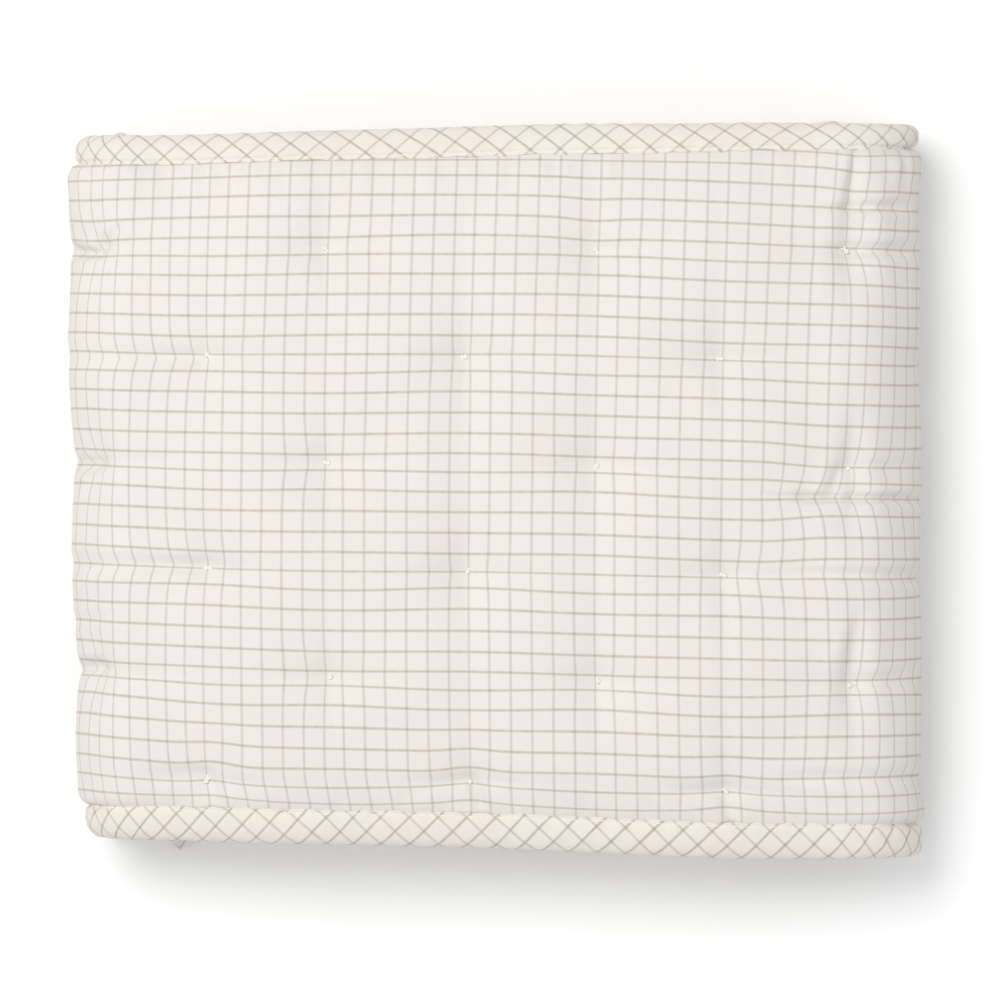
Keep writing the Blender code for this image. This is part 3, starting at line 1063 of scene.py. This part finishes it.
def binding_section():
    """The binding's outer face, from the upper seam round the edge to the lower one."""
    turn = np.linspace(0.0, math.pi, BINDING_ROUND_POINTS)
    across = BINDING_MIDDLE + (BINDING_EDGE - BINDING_MIDDLE) * np.sin(turn) ** BINDING_ROUND_POWER
    out = BINDING_HALF * np.sign(np.cos(turn)) * np.abs(np.cos(turn)) ** BINDING_ROUND_POWER
    corners = np.arange(len(BINDING_TUCK))
    steps = np.linspace(0, corners[-1], TUCK_STEPS * corners[-1] + 1)
    tuck_across = np.interp(steps, corners, metres(BINDING_TUCK, "across"))
    tuck_out = np.interp(steps, corners, metres(BINDING_TUCK, "out"))
    across = np.concatenate([tuck_across, across, tuck_across[::-1]])
    out = np.concatenate([tuck_out, out, -tuck_out[::-1]])
    length = totals(np.hypot(np.diff(across), np.diff(out)))
    normal_across = np.gradient(-out)
    normal_out = np.gradient(across)
    size = np.hypot(normal_across, normal_out)
    return Around(across, out, length - length[-1] / 2, normal_across / size, normal_out / size)


def binding_width():
    """How wide the binding's strip of cloth is, unrolled."""
    return float(np.ptp(binding_section().length))


def from_binding_seam(round_length):
    """How far round a binding a place is from the nearer of its seams."""
    return binding_width() / 2 - np.abs(round_length)


def binding_place(along, round_length, edge):
    length, on_cloth = place_lengthwise(along, 1)
    slid = read_off(HEAD_SLIDES if edge > 0 else FOOT_SLIDES, MIDDLE_COLUMN_X - length)
    if edge > 0:
        closer = HEAD_CLOSER * bell(length - HEAD_CLOSER_AT, HEAD_CLOSER_REACH)
    else:
        closer = FOOT_CLOSER * ramp(length, FOOT_CLOSER_FROM, FOOT_CLOSER_OVER)
    return np.stack([on_cloth + closer, round_length + slid, 0 * along], axis=-1)


def binding_stations():
    """Distances along the strip for the bindings, fine where they show from above."""
    shown_from, shown_to = START["outer_fold"], START["layer_3"]
    at_end = np.array(SHORT_END_STEPS_MM) * MM
    return np.concatenate([
        at_end,
        spaced(SHORT_END_ROUND, shown_from, BINDING_HIDDEN_STEP),
        spaced(shown_from, shown_to, BINDING_STEP),
        spaced(shown_to, START["inner_fold"], BINDING_HIDDEN_STEP),
        spaced(START["inner_fold"], START["layer_2"], INNER_FOLD_STEP),
        spaced(START["layer_2"], STRIP_LENGTH - SHORT_END_ROUND, BINDING_HIDDEN_STEP),
        [STRIP_LENGTH - SHORT_END_ROUND],
        STRIP_LENGTH - at_end[::-1],
    ])


def pinched_at_ends(along):
    """The share of its thickness that a binding keeps where it is pinched in at the strip's short ends."""
    from_end = np.clip(np.minimum(along, STRIP_LENGTH - along) / SHORT_END_ROUND, 0.0, 1.0)
    return SHORT_END_HALF + (1 - SHORT_END_HALF) * np.sqrt(1 - (1 - from_end) ** 2)


def binding_relief(along, round_length, edge):
    """Puckers at the seams, slanting drag lines over the edge and the groove under the stitches."""
    from_seam = from_binding_seam(round_length)
    puckers = waves(along, BINDING_PUCKERS, BINDING_PUCKER_SEED + edge)
    puckers = puckers * bell(from_seam - BINDING_PUCKER_PLACE, BINDING_PUCKER_REACH)
    puckers = puckers * smooth(from_seam / BINDING_PUCKER_FADE)
    drag = waves(along + edge * round_length, DRAG_LINES, DRAG_SEED + edge) * smooth(from_seam / DRAG_FADE)
    groove = STITCH_GROOVE * bell(from_seam - STITCH_FROM_SEAM, STITCH_GROOVE_WIDTH)
    return puckers + drag - groove


def binding_point(along, around, edge, lift):
    """A point of a binding at the head or foot edge, with its relief, lifted off its cloth."""
    relief = binding_relief(along, around.length, edge) + lift
    near_seam = smooth(1 - from_binding_seam(around.length) / SCALLOP_REACH)
    scallop = waves(along, SCALLOPS, SCALLOP_SEED + edge) * near_seam
    across = around.across + scallop + around.normal_across * relief
    slimmer = SEAM_HALF_SHARE * (section_at(along).half - TOP_LAYER_HALF)
    out = around.out + np.sign(around.out) * slimmer * near_seam
    squarer = 1 - RIGHT_END_SQUARE * half_way_round("outer_fold", along)
    reach = BINDING_EDGE - BINDING_MIDDLE
    beyond = np.clip((across - BINDING_MIDDLE) / reach, BARELY, None)
    rounded = beyond > BARELY
    across = np.where(rounded, BINDING_MIDDLE + reach * beyond ** squarer, across)
    squared = np.sign(out) * BINDING_HALF * (np.abs(out) / BINDING_HALF) ** squarer
    out = np.where(rounded, squared, out) * pinched_at_ends(along)
    return on_fold(along, edge * across, out + around.normal_out * relief)


def make_binding(name, node, edge, material):
    """A bias-cut strip wrapped in a U over one long edge; edge is 1 at the head and -1 at the foot."""
    stations = binding_stations()
    section = binding_section()
    grid = np.zeros((len(stations), len(section.length)))
    along = stations[:, None] + grid
    around = Around(*(values + grid for values in section))
    skins = [binding_point(along, around, edge, lift).reshape(-1, 3) for lift in (0.0, -BINDING_CLOTH)]
    places = [binding_place(along, around.length, edge).reshape(-1, 3)] * len(skins)
    outer = np.arange(along.size).reshape(along.shape)
    inner = outer + along.size
    turned = edge < 0
    faces = strip_faces(outer, turned) + strip_faces(inner, not turned)
    for row, flip in ((0, turned), (-1, not turned)):
        faces += strip_faces(np.stack([inner[:, row], outer[:, row]], axis=-1), flip)
    for column, flip in ((0, not turned), (-1, turned)):
        faces += strip_faces(np.stack([inner[column], outer[column]], axis=-1), flip)
    binding = new_piece(name, np.concatenate(skins), faces, material, "bias_cotton", np.concatenate(places))
    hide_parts(node)
    binding_width()
    return binding


# ---- threads: edge stitches and knots

STITCH_PITCH = 3.9 * MM
STITCH_LENGTH = 2.9 * MM
STITCH_RADIUS = 0.23 * MM
STITCH_SIDES = 5
STITCH_RINGS = table(
    "share width lift",
    (-0.5, 0.35, -0.6),
    (-0.3, 1.0, 0.4),
    (0.3, 1.0, 0.4),
    (0.5, 0.35, -0.6),
)
FIRST_STITCH = 6 * MM
STITCHES_END = 8 * MM
A_LITTLE_ON = 0.2 * MM
A_LITTLE_ABOVE = 0.5 * MM

KNOT_RADIUS = 0.52 * MM
KNOT_THREAD = 0.48 * MM
KNOT_LOBES = 3
KNOT_LOBE_DEPTH = 0.35
KNOT_HEIGHT = 1.1
KNOT_CROSSING = 0.9
KNOT_SIDES = 6
KNOT_TURN_POINTS = 30
KNOT_TAILS = ((1.6 * MM, -1.0 * MM, -0.2 * MM), (2.0 * MM, 0.7 * MM, -0.2 * MM))
TAIL_FROM = 0.2
TAIL_POINTS = 5
KNOT_LOOK = 4 * MM
SMALLEST_KNOT = 0.85
LARGEST_KNOT = 1.1
SUNK_COLUMN = 3
SUNK_KNOT = 1.6 * MM
NOT_ALONG_THREAD = (0.31, 0.17, 0.94)


def stitch_mesh(place, starts, length):
    """Short rounded dashes of thread along a seam: place(along) gives the seam and its normal."""
    points, faces = [], []
    for ring in STITCH_RINGS:
        along = starts + length * (0.5 + ring.share)
        middle, normal = place(along)
        direction = unit(place(along + A_LITTLE_ON)[0] - middle)
        circle = circles(unit(np.cross(normal, direction)), normal, STITCH_SIDES)
        lifted = middle + normal * STITCH_RADIUS * ring.lift
        points.append(lifted[:, None] + circle * STITCH_RADIUS * ring.width)
    for stitch in range(len(starts)):
        faces += tube_faces(len(STITCH_RINGS), STITCH_SIDES, stitch * len(STITCH_RINGS) * STITCH_SIDES)
    return np.stack(points, axis=1).reshape(-1, 3), faces


def joined(meshes):
    """Several meshes' points and faces as those of one."""
    points, faces, used = [], [], 0
    for some_points, some_faces in meshes:
        points.append(some_points)
        faces += [[used + corner for corner in face] for face in some_faces]
        used += len(some_points)
    return np.concatenate(points), faces


def make_stitches(name, edge, material):
    """The edge stitching that holds a binding down, on both faces of the strip."""
    section = binding_section()
    starts = np.arange(FIRST_STITCH, STRIP_LENGTH - STITCHES_END, STITCH_PITCH)
    meshes = []
    for side in (1, -1):
        at = -side * (binding_width() / 2 - STITCH_FROM_SEAM)
        around = Around(*(np.interp(at, section.length, values) for values in section))

        def place(along):
            here = Around(*(np.full_like(along, value) for value in around))
            surface, above = (binding_point(along, here, edge, lift) for lift in (0.0, A_LITTLE_ABOVE))
            return surface, unit(above - surface)

        meshes.append(stitch_mesh(place, starts, STITCH_LENGTH))
    return new_piece(name, *joined(meshes), material, "tuft_thread")


def knot_path():
    """A small three-lobed knot of thread with two short tails, lying on a surface."""
    turn = np.linspace(0.0, 2 * math.pi, KNOT_TURN_POINTS)
    ring = 1 + KNOT_LOBE_DEPTH * np.cos(KNOT_LOBES * turn)
    knot = np.stack([
        KNOT_RADIUS * ring * np.cos(2 * turn),
        KNOT_RADIUS * ring * np.sin(2 * turn),
        KNOT_THREAD * (KNOT_HEIGHT + KNOT_CROSSING * np.sin(KNOT_LOBES * turn)),
    ], axis=-1)
    reach = np.linspace(TAIL_FROM, 1.0, TAIL_POINTS)[:, None]
    first_tail, last_tail = (np.array([tail]) for tail in KNOT_TAILS)
    return np.concatenate([knot[0] + first_tail * reach[::-1], knot, knot[-1] + last_tail * reach])


def tube(path, radius, sides):
    """Points and faces of a thread along a path, closed at both ends."""
    direction = unit(np.gradient(path, axis=0))
    first = unit(np.cross(direction, np.array(NOT_ALONG_THREAD)))
    circle = circles(first, np.cross(direction, first), sides)
    return (path[:, None] + circle * radius).reshape(-1, 3), tube_faces(len(path), sides)


def panel_spot(along, across, side):
    """A single point of one face of the panel, folded."""
    return panel_point(np.array([along]), np.array([across]), side)[0]


def make_knots(material):
    """A knot at each tuft, on both faces of the panel."""
    random = np.random.default_rng(SEED)
    template, faces = tube(knot_path(), KNOT_THREAD, KNOT_SIDES)
    meshes = []
    for column in knot_columns():
        sunk = SUNK_KNOT if column == SUNK_COLUMN else 0.0
        for along, across in knots_of(column):
            for side in (1, -1):
                ahead = panel_spot(along + KNOT_LOOK, across, side)
                ahead = unit(ahead - panel_spot(along - KNOT_LOOK, across, side))
                beside = panel_spot(along, across + KNOT_LOOK, side)
                beside = beside - panel_spot(along, across - KNOT_LOOK, side)
                normal = unit(np.cross(ahead, beside)) * -side
                beside = np.cross(normal, ahead)
                spin = random.uniform(0, 2 * math.pi)
                x_axis = math.cos(spin) * ahead + math.sin(spin) * beside
                y_axis = math.cos(spin) * beside - math.sin(spin) * ahead
                size = random.uniform(SMALLEST_KNOT, LARGEST_KNOT)
                middle = panel_spot(along, across, side) - normal * sunk
                meshes.append((middle + size * template @ np.stack([x_axis, y_axis, normal]), faces))
    return new_piece("tuft_knots", *joined(meshes), material, "tuft_thread")


# ---- materials

Colour = namedtuple("Colour", "red green blue")
Mottle = namedtuple("Mottle", "scale times plus")
Lines = namedtuple("Lines", "place pitch phase")
BiasCut = namedtuple("BiasCut", "pitch crossing_along crossing_round")

GROUND = Colour(0.745, 0.71, 0.665)
BINDING_GROUND = Colour(0.755, 0.71, 0.65)
LINE_UP = Colour(0.43, 0.405, 0.36)
LINE_UP_WARM = Colour(0.50, 0.41, 0.34)
LINE_UP_CROSSED = Colour(0.33, 0.265, 0.215)
LINE_ACROSS = Colour(0.44, 0.315, 0.235)
LINE_ACROSS_GREY = Colour(0.36, 0.32, 0.275)
THREAD = Colour(0.84, 0.81, 0.74)
FLOOR = Colour(0.9, 0.9, 0.9)
FLOOR_PALER = Colour(0.92, 0.92, 0.92)
GROUND_DARKER = 0.93
THREAD_DARKER = 0.9
GROUND_MOTTLE = Mottle(26.0, 0.9, -0.15)
SLUB = Mottle(300.0, 0.7, 0.45)
LINE_TINT = Mottle(34.0, 3.0, -1.0)
THREAD_NOISE = 900.0
FLOOR_NOISE = 3.0
NOISE_DETAIL = 2.0
SHEEN_ROUGHNESS = 0.6
UP_STRENGTH = 0.62
ACROSS_STRENGTH = 0.68
CROSSED_STRENGTH = 0.6
BINDING_DEEPER = 1.22
LINE_HALF_WIDTH = 0.50 * MM
LINE_SOFTNESS = 0.28 * MM
WEAVE_PITCH = 0.42 * MM
WEAVE_DEPTH = 0.05 * MM
WEAVE_STRENGTH = 0.35
HEAD_CUT = BiasCut(8.77 * MM, -48.0 * MM, -7.6 * MM)
FOOT_CUT = BiasCut(8.41 * MM, -40.4 * MM, -14.3 * MM)


class Nodes:
    """A tree of shader nodes, with short calls for those that the materials and the world need."""

    def __init__(self, tree):
        self.tree = tree

    def put(self, value, socket):
        """Give a socket a number, a colour or another node's output."""
        if isinstance(value, bpy.types.NodeSocket):
            self.tree.links.new(value, socket)
        elif isinstance(value, Colour):
            socket.default_value = (*value, 1.0)
        else:
            socket.default_value = value

    def add(self, kind, **inputs):
        """A new node, with its inputs named as on the node, but for an underscore in place of a space."""
        node = self.tree.nodes.new("ShaderNode" + kind)
        for name, value in inputs.items():
            self.put(value, node.inputs[name.replace("_", " ")])
        return node

    def math(self, operation, *values):
        """One step of arithmetic."""
        node = self.add("Math")
        node.operation = operation
        for value, socket in zip(values, node.inputs):
            self.put(value, socket)
        return node.outputs[0]

    def mix(self, share, first, second):
        """A blend of two colours."""
        node = self.add("Mix")
        node.data_type = "RGBA"
        for value, name in ((share, "Factor"), (first, "A"), (second, "B")):
            self.put(value, node.inputs[name])
        return node.outputs[2]

    def noise(self, vector, scale):
        """Soft noise from 0 to 1 at a place."""
        return self.add("TexNoise", Vector=vector, Scale=scale, Detail=NOISE_DETAIL).outputs["Fac"]

    def mottle(self, vector, kind):
        """Noise at a place, spread and shifted."""
        return self.math("MULTIPLY_ADD", self.noise(vector, kind.scale), kind.times, kind.plus)

    def place(self, output):
        """A place as the texture coordinates give it."""
        return self.add("TexCoord").outputs[output]


class Paint(Nodes):
    """A cloth material."""

    def __init__(self, name, roughness, sheen, shine=0.25):
        self.material = bpy.data.materials.new(name)
        self.material.use_nodes = True
        super().__init__(self.material.node_tree)
        self.shader = self.tree.nodes["Principled BSDF"]
        self.shader.inputs["Roughness"].default_value = roughness
        self.shader.inputs["Sheen Weight"].default_value = sheen
        self.shader.inputs["Sheen Roughness"].default_value = SHEEN_ROUGHNESS
        self.shader.inputs["Specular IOR Level"].default_value = shine

    def cloth_place(self):
        """The place on the flat cloth, and its two coordinates."""
        node = self.add("Attribute")
        node.attribute_name = "cloth_place"
        vector = node.outputs["Vector"]
        return vector, *self.add("SeparateXYZ", Vector=vector).outputs[:2]

    def line(self, lines):
        """How much of a woven line covers a place: 1 on the line, 0 between lines."""
        counted = self.math("DIVIDE", self.math("SUBTRACT", lines.place, lines.phase), lines.pitch)
        centred = self.math("SUBTRACT", self.math("FRACT", self.math("ADD", counted, 0.5)), 0.5)
        away = self.math("MULTIPLY", self.math("ABSOLUTE", centred), lines.pitch)
        inside = self.math("SUBTRACT", LINE_HALF_WIDTH + LINE_SOFTNESS, away)
        covered = self.math("DIVIDE", inside, 2 * LINE_SOFTNESS)
        return self.math("MINIMUM", self.math("MAXIMUM", covered, 0.0), 1.0)

    def weave(self, first, second):
        """A plain weave's bump: threads over and under each other."""
        over, under = (
            self.math("SINE", self.math("MULTIPLY", place, 2 * math.pi / WEAVE_PITCH))
            for place in (first, second)
        )
        height = self.math("MULTIPLY", over, under)
        bump = self.add("Bump", Strength=WEAVE_STRENGTH, Distance=WEAVE_DEPTH, Height=height)
        self.put(bump.outputs["Normal"], self.shader.inputs["Normal"])

    def colour(self, value):
        """Finish with this colour."""
        self.put(value, self.shader.inputs["Base Color"])
        return self.material

    def blotched(self, share, colour, factor):
        """A colour mixed by a share with a darker one."""
        return self.mix(share, colour, Colour(*(value * factor for value in colour)))

    def check(self, vector, up_lines, across_lines, ground, deeper=1.0):
        """Finish as woven cotton: a ground with two sets of fine lines, uneven as spun thread is."""
        base = self.blotched(self.mottle(vector, GROUND_MOTTLE), ground, GROUND_DARKER)
        slub = self.mottle(vector, SLUB)
        tint = self.mottle(vector, LINE_TINT)
        up, over = (self.math("MULTIPLY", self.line(lines), slub) for lines in (up_lines, across_lines))
        up_colour = self.mix(tint, LINE_UP, LINE_UP_WARM)
        over_colour = self.mix(tint, LINE_ACROSS_GREY, LINE_ACROSS)
        with_up = self.mix(self.math("MULTIPLY", up, UP_STRENGTH * deeper), base, up_colour)
        crossed = self.mix(self.math("MULTIPLY", up, CROSSED_STRENGTH), over_colour, LINE_UP_CROSSED)
        self.weave(up_lines.place, across_lines.place)
        return self.colour(self.mix(self.math("MULTIPLY", over, ACROSS_STRENGTH * deeper), with_up, crossed))


def check_material():
    """The panel's cotton."""
    paint = Paint("check_cotton_cloth", roughness=0.92, sheen=0.12)
    vector, along, across = paint.cloth_place()
    up_lines = Lines(along, CHECK_ALONG, CHECK_ALONG_PHASE)
    return paint.check(vector, up_lines, Lines(across, CHECK_ACROSS, CHECK_ACROSS_PHASE), GROUND)


def bias_material(name, cut):
    """The same cotton cut at forty-five degrees, with two of its lines crossing at a given place."""
    paint = Paint(name, roughness=0.92, sheen=0.12)
    vector, along, across = paint.cloth_place()
    slope = math.sqrt(0.5)
    lines = []
    for operation, sign in (("ADD", 1), ("SUBTRACT", -1)):
        place = paint.math("MULTIPLY", paint.math(operation, along, across), slope)
        lines.append(Lines(place, cut.pitch, (cut.crossing_along + sign * cut.crossing_round) * slope))
    return paint.check(vector, *lines, BINDING_GROUND, BINDING_DEEPER)


def thread_material():
    """Soft white thread, with a faint twist."""
    paint = Paint("white_thread", roughness=0.8, sheen=0.2)
    twist = paint.noise(paint.place("Object"), THREAD_NOISE)
    return paint.colour(paint.blotched(twist, THREAD, THREAD_DARKER))


def floor_material():
    """A pale, dull floor."""
    paint = Paint("pale_floor", roughness=0.95, sheen=0.0, shine=0.0)
    return paint.colour(paint.mix(paint.noise(paint.place("Object"), FLOOR_NOISE), FLOOR, FLOOR_PALER))


# ---- the room

PHOTO_SIZE = 994
PIXEL = 0.4127 * MM
PHOTO_MIDDLE_X = 0.4 * MM
PHOTO_MIDDLE_Y = -2.9 * MM
SENSOR_WIDTH_MM = 36.0
CAMERA_HEIGHT = 3.5
CLIP_START = 0.05
CLIP_END = 30
FLOOR_SIZE = 8.0
FLOOR_LEVEL = -0.2 * MM
KEY_AZIMUTH = math.radians(133)
KEY_ZENITH = math.radians(29)
KEY_DISTANCE = 4.0
KEY_SIZE = 2.3
KEY_POWER = 83.5
KEY_COLOUR = Colour(1.0, 0.99, 0.97)
SKY_COLOUR = Colour(0.98, 0.99, 1.0)
ZENITH_STRENGTH = 1.10
HORIZON_STRENGTH = 0.34
HEAD_SIDE_DARKER = 0.45
FOOT_SIDE_SHARE = -0.15


def make_camera():
    """Straight above the heap, with the photo's width just filling the picture."""
    data = bpy.data.cameras.new("camera")
    data.sensor_width = SENSOR_WIDTH_MM
    data.lens = SENSOR_WIDTH_MM * CAMERA_HEIGHT / (PIXEL * (PHOTO_SIZE + 1))
    data.clip_start = CLIP_START
    data.clip_end = CLIP_END
    camera = new_object("camera", data)
    camera.location = (PHOTO_MIDDLE_X, PHOTO_MIDDLE_Y, LAYER_1_Z + CAMERA_HEIGHT)
    bpy.context.scene.camera = camera


def make_floor():
    """A pale floor under the heap."""
    mesh = bpy.data.meshes.new("floor")
    half = FLOOR_SIZE / 2
    corners = [(x * half, y * half, FLOOR_LEVEL) for x, y in ((-1, -1), (1, -1), (1, 1), (-1, 1))]
    mesh.from_pydata(corners, [], [(0, 1, 2, 3)])
    mesh.materials.append(floor_material())
    floor = new_object("floor", mesh)


def make_key():
    """A large soft light from the upper left."""
    light = bpy.data.lights.new("key", "AREA")
    light.shape = "DISK"
    light.size = KEY_SIZE
    light.energy = KEY_POWER
    light.color = KEY_COLOUR
    key = new_object("key", light)
    away = math.sin(KEY_ZENITH) * KEY_DISTANCE
    height = math.cos(KEY_ZENITH) * KEY_DISTANCE
    key.location = (math.cos(KEY_AZIMUTH) * away, math.sin(KEY_AZIMUTH) * away, height)
    key.rotation_euler = (0.0, KEY_ZENITH, KEY_AZIMUTH)


def make_sky():
    """Even light from all round, stronger overhead and weaker on the head's side."""
    world = bpy.data.worlds.new("even_light")
    world.use_nodes = True
    nodes = Nodes(world.node_tree)
    _, to_head, upward = nodes.add("SeparateXYZ", Vector=nodes.place("Generated")).outputs
    head_side = nodes.math("MAXIMUM", to_head, FOOT_SIDE_SHARE)
    height = nodes.math("MULTIPLY_ADD", head_side, -HEAD_SIDE_DARKER, upward)
    strength = nodes.add("MapRange", Value=height, To_Min=HORIZON_STRENGTH, To_Max=ZENITH_STRENGTH)
    background = nodes.tree.nodes["Background"]
    nodes.put(SKY_COLOUR, background.inputs["Color"])
    nodes.put(strength.outputs["Result"], background.inputs["Strength"])
    bpy.context.scene.world = world
    bpy.context.scene.view_settings.view_transform = "Standard"


# ---- everything

make_camera()
make_floor()
make_key()
make_sky()
check_cloth = check_material()
head_cloth = bias_material("head_binding_cloth", HEAD_CUT)
foot_cloth = bias_material("foot_binding_cloth", FOOT_CUT)
thread = thread_material()
make_panel(check_cloth)
make_binding("head_binding", "binding_top", 1, head_cloth)
make_binding("foot_binding", "binding_bottom", -1, foot_cloth)
make_stitches("head_stitches", 1, thread)
make_stitches("foot_stitches", -1, thread)
make_knots(thread)
